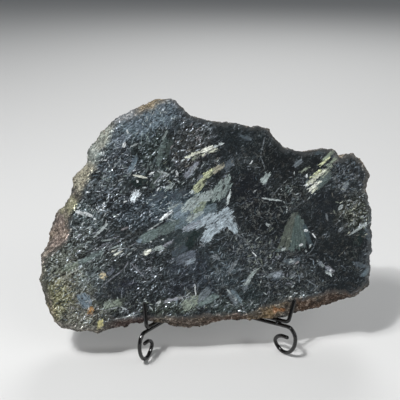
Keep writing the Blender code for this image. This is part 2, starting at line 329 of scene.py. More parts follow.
def faceKinds(piece):
    # 0 polished, 1 rind, 2 sawn back, by where each face lies
    depth = readField(piece.data.polygons, "center", 3)[:, 1] - faceSet["planeY"]
    behind = depth > faceSet["thick"] - slabSet["sawnBand"]
    kinds = np.where(depth < slabSet["polishedBand"], 0, np.where(behind, 2, 1))
    piece.data.polygons.foreach_set("material_index", kinds)
    return kinds


slabKinds = faceKinds(slab)

# the minerals' tones; those of the pale blades also carry the blades' iridescent flash as painted sheen
tones = {
    "white": "#e6ecee", "pale": "#b3bcbd", "blueWhite": "#9eabb3", "iceWhite": "#dbe5ec", "cream": "#cdd1c0",
    "paleCream": "#e6e9de", "gold": "#a1a78b", "brass": "#918f80", "buff": "#6f6e68", "orange": "#9b7547",
    "leaf": "#878f82", "greyGreen": "#83908e", "sage": "#717e7c", "olive": "#5d6866", "darkOlive": "#434b48",
    "slate": "#6c7a84", "steel": "#808e98", "teal": "#49565b", "lavender": "#5f656e", "mauve": "#84878f",
    "ash": "#72797e", "smoke": "#51595f", "pinkish": "#8f8c8f", "stone": "#95a09f", "fern": "#828d7d",
    "lilac": "#8d969f", "storm": "#68757c", "ink": "#15191b", "pine": "#1a2625", "dusk": "#444c53",
    "sand": "#cfc2a2", "sulphur": "#b3ae7c", "lime": "#ccd2ab", "moss": "#5d625a", "lagoon": "#55625f",
}

# ground of the polished face: middle in photograph pixels, half widths in mm, tilt in degrees,
# tone, how strongly it is felted with needles, and how far it covers what is below
groundBase = ("#2f3436", 0.5)
# the paler blue-grey ground towards the upper left is partly the rock's own felt and partly painted sheen
groundPatches = [
    (165, 104, 12, 6, 0, "#767d82", 0.6, 0.9), (148, 122, 27, 10, 25, "#66727a", 0.55, 0.95),
    (116, 142, 10, 15, 70, "#6c757d", 0.7, 0.88), (97, 150, 7, 10, 50, "#6c7674", 0.9, 0.75),
    (142, 152, 10, 11, 60, "#2d3736", 0.75, 0.85), (160, 150, 9, 12, 0, "#394341", 0.85, 0.85),
    (134, 178, 6, 4, 0, "#1d2827", 0.4, 0.9), (195, 140, 13, 12, 0, "#454747", 0.9, 0.9),
    (200, 122, 18, 4, -8, "#4a5054", 0.7, 0.8), (237, 142, 19, 11, -10, "#1c2225", 0.24, 0.95),
    (255, 135, 10, 6, -20, "#272d2f", 0.35, 0.7), (185, 162, 8, 6, 0, "#454544", 0.9, 0.8),
    (165, 182, 13, 6, 0, "#2e3535", 0.9, 0.8), (99, 186, 12, 17, 60, "#505658", 0.9, 0.88),
    (120, 162, 13, 12, 0, "#40464b", 0.9, 0.85), (112, 205, 14, 13, 0, "#34393d", 0.95, 0.85),
    (86, 214, 9, 14, 70, "#5d6667", 1, 0.88), (75, 242, 10, 13, 70, "#50544f", 1, 0.85),
    (165, 204, 20, 10, 10, "#3f4b53", 0.5, 0.92), (187, 211, 14, 8, 30, "#66747a", 0.45, 0.92),
    (140, 216, 17, 10, 0, "#3b444a", 0.85, 0.85), (203, 206, 11, 8, 40, "#4f5c5f", 0.45, 0.8),
    (239, 190, 7, 18, 0, "#181e20", 0.2, 0.95), (60, 265, 13, 13, 0, "#71746b", 0.9, 0.9),
    (72, 285, 13, 13, 0, "#827f6e", 0.85, 0.9), (58, 299, 11, 13, 0, "#8c8867", 0.95, 0.9),
    (82, 317, 15, 10, 0, "#7b796c", 0.95, 0.9), (90, 275, 11, 11, 0, "#646c6c", 0.8, 0.8),
    (105, 256, 16, 7, 20, "#484d4c", 1, 0.8), (113, 292, 8, 6, 0, "#262b2f", 0.3, 0.97),
    (130, 285, 9, 6, 0, "#2c2f37", 0.45, 0.97), (150, 265, 14, 10, 0, "#3c4245", 0.9, 0.85),
    (150, 290, 16, 7, 0, "#353b3e", 0.9, 0.85), (112, 305, 10, 6, 0, "#666b62", 1, 0.85),
    (130, 311, 14, 5, 10, "#484c4e", 1, 0.85), (165, 309, 18, 4, 0, "#4c534b", 1, 0.85),
    (190, 303, 10, 6, 0, "#5e635b", 0.8, 0.85), (184, 238, 14, 7, 15, "#3a4345", 0.22, 0.97),
    (188, 266, 16, 8, 10, "#373d44", 0.5, 0.92), (180, 286, 14, 7, 0, "#2d3137", 0.5, 0.92),
    (206, 275, 8, 14, 0, "#2f363d", 0.5, 0.92), (228, 270, 11, 15, 0, "#384146", 0.55, 0.92),
    (215, 250, 10, 8, 0, "#2f3639", 0.45, 0.85), (245, 250, 12, 12, 0, "#2f3539", 0.55, 0.88),
    (265, 215, 20, 18, 0, "#13171a", 0.26, 0.94), (250, 188, 14, 14, 0, "#15181d", 0.2, 0.95),
    (280, 163, 19, 12, -30, "#121618", 0.18, 0.97), (290, 190, 14, 8, 0, "#1b1f1f", 0.42, 0.88),
    (315, 165, 9, 9, 0, "#1c2120", 0.4, 0.75), (347, 175, 11, 15, 70, "#2a3034", 0.55, 0.93),
    (330, 210, 15, 15, 0, "#1c2125", 0.2, 0.97), (354, 212, 11, 12, 0, "#34372e", 0.85, 0.93),
    (345, 250, 17, 13, 0, "#171c1e", 0.18, 0.97), (320, 256, 15, 11, 0, "#181d20", 0.2, 0.93),
    (297, 236, 18, 16, 0, "#161b1d", 0.26, 0.9), (285, 260, 14, 7, 0, "#24292c", 0.48, 0.85),
    (255, 290, 13, 9, 0, "#222b2d", 0.38, 0.9), (280, 282, 15, 8, 0, "#202528", 0.42, 0.88),
    (310, 286, 13, 7, 0, "#2a3034", 0.5, 0.85), (340, 280, 18, 10, 0, "#191e21", 0.22, 0.93),
    (366, 262, 5, 14, 0, "#383e42", 0.45, 0.8), (230, 305, 22, 5, 0, "#3b4442", 0.75, 0.9),
    (290, 298, 14, 5, 15, "#454a47", 0.9, 0.85), (245, 313, 14, 4, 0, "#414644", 0.9, 0.85),
]

# crystals: both ends in photograph pixels, width in mm, tone; where two meet, the spot is the one's
# that it lies deeper in, and the streaks follow a crystal's number, so the order counts
softCrystals = [
    (140, 241, 161, 230, 7, "sage"), (155, 233, 183, 222, 7.5, "olive"), (137, 242, 150, 235, 4, "steel"),
    (172, 228, 192, 217, 7, "storm"), (188, 223, 205, 212, 8, "steel"), (175, 217, 196, 206, 5.5, "steel"),
    (203, 213, 217, 206, 7, "storm"), (168, 213, 181, 206, 4, "slate"), (170, 200, 186, 190, 5, "dusk"),
    (148, 200, 165, 195, 5, "dusk"), (212, 178, 222, 172, 5.5, "ink"), (206, 203, 217, 201, 3.5, "pine"),
    (176, 262, 195, 253, 7.5, "lavender"), (184, 264, 196, 258, 4.5, "lilac"),
    (172, 255, 190, 246, 5, "dusk"), (294, 213, 279, 251, 4.2, "moss"), (295, 213, 286, 251, 4.6, "moss"),
    (297, 214, 292, 251, 4.8, "lagoon"), (299, 216, 298, 250, 4.8, "lagoon"),
    (301, 219, 304, 248, 4.6, "olive"), (303, 224, 311, 246, 4, "teal"), (276, 250, 290, 248, 3, "olive"),
    (62, 270, 80, 262, 4.5, "leaf"), (76, 264, 104, 251, 3.6, "greyGreen"), (104, 306, 122, 302, 5.5, "leaf"),
    (182, 308, 200, 298, 7.5, "leaf"), (196, 305, 210, 288, 6, "ash"), (196, 305, 218, 295, 5.5, "sage"),
    (228, 290, 236, 304, 4, "ash"), (231, 289, 241, 302, 3.6, "storm"), (243, 290, 250, 277, 3.6, "ash"),
    (267, 277, 283, 271, 3.6, "ash"), (271, 280, 285, 275, 3, "smoke"), (333, 163, 341, 151, 4, "buff"),
    (315, 189, 331, 173, 5.5, "olive"), (315, 154, 324, 150, 3, "teal"), (306, 168, 320, 158, 7, "ink"),
    (294, 167, 302, 160, 3.6, "ash"), (343, 190, 348, 182, 4, "ash"), (357, 245, 363, 231, 5.5, "pine"),
    (366, 228, 371, 243, 3.4, "smoke"), (353, 263, 371, 268, 3, "smoke"), (362, 276, 370, 268, 4, "storm"),
    (240, 136, 253, 140, 2.8, "smoke"), (100, 152, 92, 160, 5, "greyGreen"),
    (129, 173, 137, 156, 3.4, "slate"), (225, 170, 232, 160, 5, "smoke"), (184, 178, 192, 170, 3.8, "mauve"),
    (188, 172, 199, 162, 3.4, "mauve"), (282, 262, 300, 259, 3.6, "smoke"),
    (160, 170, 152, 188, 4, "darkOlive"), (164, 140, 158, 165, 4.4, "olive"),
    (172, 140, 166, 158, 3.4, "darkOlive"), (134, 185, 146, 176, 5, "pine"), (186, 250, 198, 230, 6, "pine"),
]
# the bright blades' pale tones and streaks are partly their own colour and partly their iridescent flash,
# painted in as sheen
brightCrystals = [
    (186, 158, 199, 152, 2.8, "cream"), (192, 160, 197, 156, 2.4, "leaf"),
    (201, 152, 213, 147, 3, "paleCream"), (208, 152, 217, 149, 2.4, "cream"),
    (201, 156, 205, 153, 1.8, "cream"), (214, 147, 218, 145, 1.8, "pale"), (218, 145, 223, 143, 1.8, "pale"),
    (194, 192, 205, 179, 5.2, "gold"), (193, 190, 199, 184, 2.6, "lime"), (198, 186, 206, 178, 2.8, "lime"),
    (203, 180, 216, 169, 3.6, "gold"), (203, 176, 214, 169, 2.6, "lime"), (211, 173, 223, 165, 3.8, "brass"),
    (225, 171, 233, 159, 3.2, "smoke"), (198, 181, 202, 175, 2, "ash"), (190, 194, 195, 189, 1.8, "pale"),
    (212, 201, 224, 180, 5.8, "greyGreen"), (218, 200, 229, 176, 5.2, "greyGreen"),
    (224, 196, 231, 182, 3, "sage"), (226, 205, 231, 190, 2, "pale"), (182, 211, 201, 195, 5.8, "stone"),
    (189, 211, 207, 194, 7.4, "stone"), (194, 215, 204, 198, 7.4, "fern"), (197, 204, 215, 191, 6.2, "stone"),
    (187, 221, 202, 210, 5.4, "stone"), (203, 242, 218, 222, 7, "blueWhite"),
    (205, 228, 231, 210, 7.8, "blueWhite"), (211, 233, 233, 216, 6.6, "blueWhite"),
    (223, 214, 237, 233, 5.6, "blueWhite"), (183, 230, 205, 221, 5, "lilac"),
    (195, 228, 214, 213, 5.2, "blueWhite"), (132, 202, 137, 190, 4.8, "iceWhite"),
    (135, 196, 140, 192, 4, "iceWhite"), (306, 185, 320, 175, 2.8, "cream"),
    (305, 186, 311, 182, 2.2, "white"), (309, 190, 321, 181, 2.4, "paleCream"),
    (312, 192, 318, 187, 1.6, "cream"), (311, 178, 322, 170, 2, "lime"), (317, 177, 327, 169, 2.2, "cream"),
    (321, 178, 331, 169, 1.8, "leaf"), (324, 172, 333, 164, 1.8, "leaf"), (320, 165, 330, 157, 2, "lime"),
    (322, 161, 335, 150, 2.6, "fern"), (327, 166, 338, 157, 2.2, "fern"), (300, 173, 309, 167, 2.2, "leaf"),
    (262, 183, 269, 173, 4.6, "stone"), (143, 254, 152, 250, 2.8, "paleCream"),
    (151, 251, 165, 246, 2.6, "stone"), (162, 247, 173, 241, 2.6, "mauve"),
    (160, 220, 172, 211, 2.6, "white"), (169, 209, 178, 205, 2, "stone"), (164, 302, 183, 297, 2.6, "mauve"),
    (248, 278, 258, 268, 2.8, "stone"), (251, 275, 256, 269, 2.2, "white"),
    (244, 286, 250, 279, 2.6, "stone"), (246, 281, 252, 277, 2.4, "pale"), (100, 277, 106, 275, 5, "sand"),
    (80, 294, 89, 307, 8.4, "slate"), (84, 303, 89, 306, 3, "steel"), (99, 331, 101, 319, 4, "sulphur"),
    (89, 315, 92, 307, 3.6, "orange"), (108, 275, 113, 269, 3.2, "lavender"),
    (165, 190, 174, 184, 2.8, "stone"), (155, 183, 166, 173, 2.4, "ash"), (274, 277, 281, 273, 3, "lilac"),
    (291, 264, 296, 260, 3, "ash"), (326, 266, 333, 272, 3.4, "mauve"), (327, 271, 331, 275, 2.8, "pale"),
    (319, 263, 325, 267, 2.8, "ash"), (291, 278, 297, 273, 3.2, "ash"), (300, 275, 303, 276, 2.4, "ash"),
    (212, 256, 220, 258, 3.4, "ash"), (228, 272, 237, 261, 2.4, "ash"), (363, 228, 366, 224, 2.4, "pale"),
    (342, 192, 346, 186, 2.8, "ash"),
]
needles = [
    (167, 103, 171, 102, 1.4, "pale"), (127, 129, 128, 134, 1, "white"), (123, 148, 125, 142, 2, "white"),
    (111, 130, 114, 132, 0.8, "white"), (95, 151, 100, 149, 2, "white"), (162, 140, 168, 130, 1.8, "stone"),
    (172, 114, 187, 119, 0.7, "slate"), (130, 147, 138, 143, 1.3, "pale"),
    (133, 175, 147, 178, 1.8, "paleCream"), (149, 175, 154, 172, 1.7, "white"),
    (157, 171, 168, 174, 1.7, "pale"), (169, 170, 171, 167, 1, "pale"), (176, 170, 178, 176, 1.5, "white"),
    (157, 191, 160, 187, 1, "white"), (137, 180, 138, 183, 1.2, "white"), (142, 188, 146, 187, 1.1, "pale"),
    (100, 177, 110, 182, 0.7, "greyGreen"), (151, 205, 154, 204, 1.2, "blueWhite"),
    (103, 204, 105, 202, 1.1, "white"), (75, 211, 84, 214, 2.6, "white"), (83, 212, 93, 217, 2.4, "white"),
    (82, 226, 84, 219, 1, "pale"), (151, 229, 154, 227, 1.1, "white"), (147, 231, 163, 221, 0.9, "pale"),
    (167, 219, 176, 221, 0.8, "pale"), (150, 242, 152, 241, 1.1, "white"), (162, 240, 164, 239, 1.1, "white"),
    (199, 243, 206, 247, 1.2, "ash"), (200, 247, 205, 241, 0.8, "ash"), (93, 238, 108, 223, 1.9, "pale"),
    (121, 230, 129, 227, 1.4, "pinkish"), (101, 241, 114, 239, 1.4, "stone"), (77, 246, 92, 241, 1, "stone"),
    (110, 249, 122, 245, 1.3, "stone"), (110, 253, 117, 249, 1.3, "paleCream"),
    (112, 256, 123, 251, 1.4, "paleCream"), (102, 286, 125, 268, 1.1, "mauve"),
    (124, 269, 128, 262, 0.9, "mauve"), (130, 262, 148, 281, 1, "mauve"), (145, 282, 151, 281, 1.2, "ash"),
    (111, 309, 118, 307, 0.9, "pale"), (110, 320, 141, 314, 0.7, "pale"), (156, 304, 161, 301, 1.7, "white"),
    (148, 303, 151, 302, 1.1, "ash"), (195, 284, 196, 296, 1, "white"), (185, 297, 191, 292, 0.9, "pale"),
    (250, 164, 253, 160, 0.8, "white"), (203, 184, 207, 178, 2, "ink"), (198, 188, 201, 184, 1.2, "ink"),
    (209, 176, 213, 172, 1.2, "ink"), (200, 154, 203, 153, 1.2, "ink"), (192, 158, 194, 156, 1.2, "ink"),
    (223, 190, 225, 184, 1.2, "ink"), (216, 196, 219, 191, 1, "ink"), (214, 224, 219, 219, 1, "dusk"),
    (221, 219, 226, 215, 1, "dusk"), (253, 193, 256, 190, 0.8, "white"), (261, 198, 282, 201, 1.4, "pale"),
    (306, 178, 307, 174, 1.5, "white"), (312, 189, 313, 188, 1.2, "cream"), (265, 224, 271, 225, 0.9, "pale"),
    (252, 252, 256, 256, 1.1, "white"), (304, 230, 308, 231, 1.8, "white"),
    (312, 233, 316, 238, 1.3, "white"), (299, 246, 303, 244, 1.8, "white"), (305, 252, 307, 250, 1.6, "pale"),
    (309, 248, 311, 244, 1.4, "pale"), (281, 250, 286, 248, 2, "pale"), (289, 262, 294, 261, 1.8, "pale"),
    (295, 264, 299, 261, 1.6, "pinkish"), (326, 213, 328, 221, 1.6, "ash"), (338, 232, 343, 227, 2.4, "ash"),
    (339, 229, 342, 228, 1.4, "white"), (338, 210, 343, 205, 2.4, "pale"), (266, 223, 269, 227, 1.8, "pale"),
    (322, 264, 324, 267, 2, "pale"), (330, 272, 331, 269, 1.2, "white"), (348, 236, 366, 224, 1.6, "pale"),
    (342, 184, 344, 183, 1.2, "pale"), (347, 193, 349, 191, 1.2, "ash"), (295, 293, 298, 293, 1.2, "pale"),
    (306, 279, 316, 286, 0.9, "ash"), (227, 289, 232, 296, 1, "pale"), (355, 292, 358, 291, 1, "mauve"),
    (236, 271, 244, 269, 0.8, "ash"),
]

# veins: their stops in photograph pixels, width in mm, tone
veins = [
    ((265, 137), (262, 150), (261, 156), (265, 169), 0.8, "ash"),
    ((273, 196), (278, 189), (283, 185), 0.6, "ash"),
    ((284, 202), (287, 208), (286, 214), 0.6, "pale"),
    ((230, 241), (236, 234), (248, 244), (245, 249), (238, 249), 0.7, "ash"),
    ((231, 212), (236, 222), (248, 245), (255, 256), 0.6, "ash"),
    ((255, 258), (262, 267), (268, 280), (269, 295), (264, 302), 0.7, "ash"),
    ((256, 270), (262, 266), (260, 259), (254, 262), 0.6, "leaf"),
    ((339, 256), (344, 251), (348, 246), 0.6, "buff"),
    ((354, 241), (353, 250), (355, 258), 0.6, "darkOlive"),
    ((299, 255), (315, 256), 0.5, "smoke"),
    ((299, 295), (310, 295), (321, 292), 0.5, "ash"),
    ((306, 230), (314, 235), (316, 240), (312, 250), (306, 255), 0.6, "ash"),
    ((271, 235), (278, 228), (276, 218), 0.5, "smoke"),
    ((262, 185), (270, 190), (273, 197), 0.5, "smoke"),
    ((240, 205), (252, 198), (262, 198), 0.5, "smoke"),
]

# small needles strewn by region: middle in pixels, spread in mm across and up, how many, main direction
# and its stray in degrees, length, width and tones
strewnRegions = [
    (150, 120, 22, 11, 70, 50, 45, 2.6, 0.6, ("steel", "slate", "pale", "ash")),
    (150, 112, 20, 9, 16, 60, 50, 1.8, 0.6, ("white", "iceWhite", "pale")),
    (100, 150, 8, 12, 28, 55, 50, 2.4, 0.65, ("pale", "white", "ash", "greyGreen")),
    (122, 160, 14, 12, 60, 40, 45, 2.8, 0.6, ("ash", "slate", "pale", "smoke")),
    (150, 155, 11, 15, 46, 80, 25, 4.4, 0.6, ("greyGreen", "sage", "smoke", "olive")),
    (193, 140, 13, 12, 52, 40, 60, 2.2, 0.65, ("buff", "ash", "pinkish", "smoke")),
    (205, 165, 16, 7, 30, 45, 30, 3, 0.7, ("ash", "lavender", "pale", "buff")),
    (165, 178, 12, 7, 34, 30, 50, 2.2, 0.6, ("pale", "white", "leaf", "ash")),
    (105, 185, 14, 14, 90, 25, 45, 2.8, 0.6, ("ash", "pale", "smoke", "greyGreen", "slate")),
    (95, 212, 14, 10, 60, 25, 40, 3, 0.65, ("ash", "pale", "white", "smoke")),
    (165, 206, 22, 8, 60, 35, 45, 2.2, 0.6, ("steel", "slate", "pale", "blueWhite")),
    (125, 212, 16, 9, 46, 35, 35, 2.8, 0.55, ("smoke", "ash", "steel")),
    (80, 240, 16, 12, 100, 25, 35, 3.2, 0.65, ("ash", "smoke", "greyGreen", "pale")),
    (115, 245, 17, 9, 70, 25, 25, 3.2, 0.6, ("ash", "pale", "smoke", "mauve")),
    (62, 285, 15, 20, 120, 35, 60, 2.2, 0.7, ("leaf", "ash", "buff", "pale", "smoke")),
    (90, 312, 22, 10, 90, 15, 60, 2.2, 0.65, ("ash", "pale", "leaf", "smoke", "pinkish")),
    (90, 272, 18, 12, 60, 25, 45, 2.6, 0.6, ("ash", "smoke", "greyGreen")),
    (145, 265, 18, 14, 55, 35, 60, 2.6, 0.5, ("smoke", "ash", "mauve")),
    (145, 305, 26, 7, 60, 25, 60, 2.2, 0.6, ("ash", "pale", "smoke", "leaf")),
    (190, 285, 18, 14, 40, 70, 50, 3, 0.55, ("lavender", "ash", "steel", "smoke")),
    (225, 272, 14, 16, 50, 50, 60, 2.8, 0.55, ("steel", "ash", "smoke", "slate")),
    (250, 168, 15, 14, 26, 40, 70, 2.4, 0.4, ("smoke", "ash", "teal")),
    (262, 205, 19, 16, 36, 30, 70, 2.6, 0.4, ("smoke", "teal", "ash")),
    (300, 188, 16, 9, 30, 40, 50, 2.2, 0.6, ("ash", "pale", "sage")),
    (345, 172, 12, 14, 40, 60, 50, 2.4, 0.6, ("smoke", "ash", "slate")),
    (353, 212, 12, 14, 90, 40, 70, 1.9, 0.65, ("cream", "leaf", "ash", "buff", "pale")),
    (262, 250, 20, 14, 60, 40, 70, 2.4, 0.5, ("ash", "pale", "smoke", "leaf")),
    (280, 275, 22, 12, 70, 10, 60, 2.4, 0.6, ("ash", "mauve", "smoke", "pale")),
    (320, 268, 16, 10, 34, 30, 60, 2.2, 0.6, ("steel", "ash", "smoke")),
    (345, 275, 20, 14, 34, 30, 70, 2.2, 0.5, ("smoke", "ash", "teal")),
    (235, 306, 34, 6, 60, 20, 60, 2.4, 0.6, ("ash", "pale", "sage", "smoke")),
    (300, 298, 20, 6, 34, 20, 60, 2.2, 0.6, ("ash", "pale", "smoke")),
]

# fine pale webs: middle in pixels, half widths in mm, strength, and how far it covers what is below
webBase = 0.06  # strength everywhere else
webPatches = [
    (268, 208, 19, 14, 0.55, 1), (262, 150, 8, 14, 0.3, 0.9), (244, 164, 14, 7, 0.22, 0.9),
    (250, 248, 16, 13, 0.65, 1), (270, 278, 16, 14, 0.5, 0.9), (296, 262, 20, 8, 0.35, 0.9),
    (312, 284, 16, 8, 0.45, 0.9), (345, 178, 11, 13, 0.45, 0.9), (352, 210, 10, 16, 0.7, 0.9),
    (350, 258, 14, 12, 0.25, 0.9), (225, 275, 12, 16, 0.35, 0.9), (292, 195, 14, 9, 0.45, 0.9),
    (120, 232, 20, 12, 0.2, 0.9), (120, 280, 24, 14, 0.2, 0.9),
]


def onFace(rows):
    return [(facePoint(x0, y0), facePoint(x1, y1), width, tone) for x0, y0, x1, y1, width, tone in rows]


threadSet = {
    "veinSeed": 5,
    "veinSteps": 6,  # short lengths between two stops of a vein
    "veinSpill": 0.15,  # how far a length runs over its ends, as a share of it
    "veinWidth": (0.6, 1.5),
    "strewSeed": 11,
    "spread": 0.6,  # shares of a region's half widths and of its stray that chance mostly keeps within
    "stray": 0.7,
    "halfLength": (0.25, 0.85),
    "width": (0.7, 1.5),
}


def veinThreads(rows):
    # a smooth thread through its stops, in short lengths of uneven width
    threads = []
    chance = random.Random(threadSet["veinSeed"])
    for *stops, width, tone in rows:
        knots = [facePoint(*stop) for stop in stops]
        knots = [2 * knots[0] - knots[1]] + knots + [2 * knots[-1] - knots[-2]]
        curve = []
        for a, b, c, d in zip(knots, knots[1:], knots[2:], knots[3:]):
            for t in np.linspace(0, 1, threadSet["veinSteps"], endpoint=False):
                bend = (2 * a - 5 * b + 4 * c - d) * t * t + (3 * b - a - 3 * c + d) * t**3
                curve.append(0.5 * (2 * b + (c - a) * t + bend))
        curve.append(knots[-2])
        for start, end in zip(curve, curve[1:]):
            spill = (end - start) * threadSet["veinSpill"]
            thick = width * chance.uniform(*threadSet["veinWidth"])
            threads.append((start - spill, end + spill, thick, tone))
    return threads


def strewNeedles(regions):
    threads = []
    chance = random.Random(threadSet["strewSeed"])
    spread = threadSet["spread"]
    for x, y, wide, high, count, angle, stray, length, width, names in regions:
        middle = facePoint(x, y)
        for _ in range(count):
            spot = middle + np.array([chance.gauss(0, wide * spread), chance.gauss(0, high * spread)])
            turn = math.radians(angle + chance.gauss(0, stray * threadSet["stray"]))
            axis = np.array([math.cos(turn), math.sin(turn)])
            half = axis * length * chance.uniform(*threadSet["halfLength"])
            thick = width * chance.uniform(*threadSet["width"])
            threads.append((spot - half, spot + half, thick, chance.choice(names)))
    return threads


# how each kind of crystal is drawn: how much it hides what is below, fray, softness and warp of its edge
# in mm, taper of its ends, shade of its darkest streak, and what the palest adds to that
crystalSet = {
    "soft": {
        "laths": onFace(softCrystals),
        "cover": 0.88, "ragged": 1.0, "soft": 0.5, "warp": 0.6, "taper": 0.4, "dark": 0.55, "pale": 0.85,
    },
    "bright": {
        "laths": onFace(brightCrystals),
        "cover": 0.96, "ragged": 1.4, "soft": 0.25, "warp": 0.65, "taper": 0.4, "dark": 0.36, "pale": 1.15,
    },
    "needle": {
        "laths": strewNeedles(strewnRegions) + veinThreads(veins) + onFace(needles),
        "cover": 0.85, "ragged": 0.35, "soft": 0.15, "warp": 0.32, "taper": 0.8, "dark": 0.45, "pale": 0.75,
    },
}

# how a patch of colour ends, and the drift from a few crossed waves that takes its roundness out
patchSet = {
    "full": 1.55,  # whole out to half its half widths, gone at 1.4 times them
    "fall": 1.1,
    "driftSize": 26.0,  # mm
    "driftReach": 1.6,
    "waves": ((1.0, 0.6), (-0.7, 1.1), (1.9, -1.3), (2.3, 2.1), (-3.1, 1.7), (4.3, 3.9)),
    "waveStep": 1.7,  # sets each wave off from the one before, and the drift up from the drift across
    "waveFade": 0.5,
    "upStep": (1.13, 0.9),
}


def wander(points):
    drift = np.zeros_like(points)
    stretch, step = patchSet["upStep"]
    for k, (a, b) in enumerate(patchSet["waves"]):
        wave = (points[:, 0] * a + points[:, 1] * b) * 2 * math.pi / patchSet["driftSize"]
        wave += k * patchSet["waveStep"]
        fade = 1 + k * patchSet["waveFade"]
        drift[:, 0] += np.sin(wave) * patchSet["driftReach"] / fade
        drift[:, 1] += np.cos(wave * stretch + step) * patchSet["driftReach"] / fade
    return points + drift


def alongAcross(away, axisX, axisY):
    return away[:, 0] * axisX + away[:, 1] * axisY, away[:, 1] * axisX - away[:, 0] * axisY


def spreadPatches(points, base, patches):
    colour = np.tile(hexToLinear(base[0]) + [base[1]], (len(points), 1))
    places = wander(points)
    for x, y, wide, high, tilt, tone, amount, cover in patches:
        away = places - facePoint(x, y)
        turn = math.radians(tilt)
        along, across = alongAcross(away, math.cos(turn), math.sin(turn))
        near = np.clip(patchSet["full"] - patchSet["fall"] * np.hypot(along / wide, across / high), 0, 1)
        share = (cover * near * near * (3 - 2 * near))[:, None]
        colour += share * (np.array(hexToLinear(tone) + [amount]) - colour)
    return colour


def setAttribute(piece, name, kind, domain, values):
    layer = piece.data.attributes.new(name, kind, domain)
    field = {"FLOAT": "value", "FLOAT_VECTOR": "vector", "FLOAT_COLOR": "color"}[kind]
    layer.data.foreach_set(field, np.ascontiguousarray(values, dtype=np.float32).ravel())


lathSet = {
    "near": 3.0,  # mm outside a crystal that its frame still reaches
    "seedStep": 7.3,  # keeps the streaks of neighbouring crystals apart
    "none": (0, 0, 1, 0, -50, -50, 0, 0, 0),  # the frame of faces without a crystal
}


def layLaths(piece, kinds, name):
    # gives the corners of each polished face the frame of the crystal it lies in or next to
    mesh = piece.data
    group = crystalSet[name]
    centres = readField(mesh.polygons, "center", 3)[:, (0, 2)] * perMetre
    best = np.full(len(centres), -lathSet["near"])
    chosen = np.full(len(centres), -1)
    rows = []
    for number, (start, end, width, tone) in enumerate(group["laths"]):
        middle = (start + end) / 2
        halfLength = np.linalg.norm(end - start) / 2
        axis = (end - start) / np.linalg.norm(end - start)
        away = centres - middle
        along, across = alongAcross(away, *axis)
        gap = np.minimum(halfLength - np.abs(along), width / 2 - np.abs(across))
        takes = gap > best
        best = np.where(takes, gap, best)
        chosen = np.where(takes, number, chosen)
        rows.append((*middle, *axis, halfLength, width / 2, *hexToLinear(tones[tone])))
    chosen[kinds != 0] = -1
    rows = np.array(rows + [lathSet["none"]])
    taken = np.repeat(chosen, readField(mesh.polygons, "loop_total", 1, int))
    row = rows[taken]
    corners = pointPlaces(piece)[readField(mesh.loops, "vertex_index", 1, int)]
    away = corners[:, (0, 2)] * perMetre - row[:, :2]
    along, across = alongAcross(away, row[:, 2], row[:, 3])
    ragged = np.full(len(row), group["ragged"])
    cover = np.full(len(row), group["cover"])
    frames = np.column_stack([along, across, taken * lathSet["seedStep"]])
    setAttribute(piece, name + "Frame", "FLOAT_VECTOR", "CORNER", frames)
    setAttribute(piece, name + "Size", "FLOAT_VECTOR", "CORNER", np.column_stack([row[:, 4:6], ragged]))
    setAttribute(piece, name + "Tone", "FLOAT_COLOR", "CORNER", np.column_stack([row[:, 6:], cover]))


# staining of the weathered rind, placed as the ground is; the pale grey-green on its upper left is partly its
# own colour and partly painted highlight where light catches that edge
rindBase = ("#4c4841", 0)
rindPatches = [
    (172, 100, 14, 6, 0, "#5d6164", 0.7, 0.9), (148, 103, 13, 7, 25, "#7a6d54", 0.9, 0.9),
    (124, 115, 11, 8, 0, "#70757a", 0.95, 0.95), (102, 134, 10, 12, 50, "#959b92", 0.95, 0.95),
    (91, 154, 9, 9, 0, "#8a928d", 0.9, 0.95), (80, 176, 10, 11, 0, "#9a9785", 0.95, 0.95),
    (68, 206, 8, 8, 0, "#8c8b6e", 0.8, 0.9), (57, 232, 9, 14, 0, "#86776f", 0.9, 0.9),
    (46, 256, 7, 9, 0, "#7b736b", 0.8, 0.9), (42, 284, 8, 12, 0, "#5d5d50", 0.7, 0.9),
    (50, 312, 8, 9, 0, "#7a7355", 0.7, 0.9), (62, 328, 9, 6, 0, "#84807a", 0.8, 0.9),
    (88, 334, 15, 6, 0, "#77746b", 0.8, 0.9), (130, 326, 17, 8, 0, "#43302c", 0.95, 0.95),
    (182, 326, 22, 7, 0, "#54463b", 0.95, 0.95), (232, 322, 22, 6, 0, "#523e31", 0.95, 0.95),
    (267, 316, 11, 7, 0, "#6f5a38", 0.9, 0.9), (280, 310, 4, 3, 0, "#96602a", 0.8, 0.9),
    (312, 308, 14, 8, 0, "#523a27", 0.95, 0.95), (338, 300, 14, 8, 0, "#463326", 0.95, 0.95),
    (366, 290, 10, 10, 0, "#3b3938", 0.8, 0.9), (374, 235, 10, 40, 0, "#3c4245", 0.7, 0.9),
    (300, 148, 40, 10, -20, "#25292b", 0.8, 0.9), (230, 120, 40, 8, -8, "#2d3235", 0.8, 0.9),
]

paintSet = {
    # what fades here is the rind's staining together with the painted highlight among it
    "rindFull": 1.35,  # the stains fade out towards the sawn back, from about a third of this depth on
    "rindDepth": 0.016,
    "wornReach": 0.004,  # how far in from the edge its distance is still measured
}


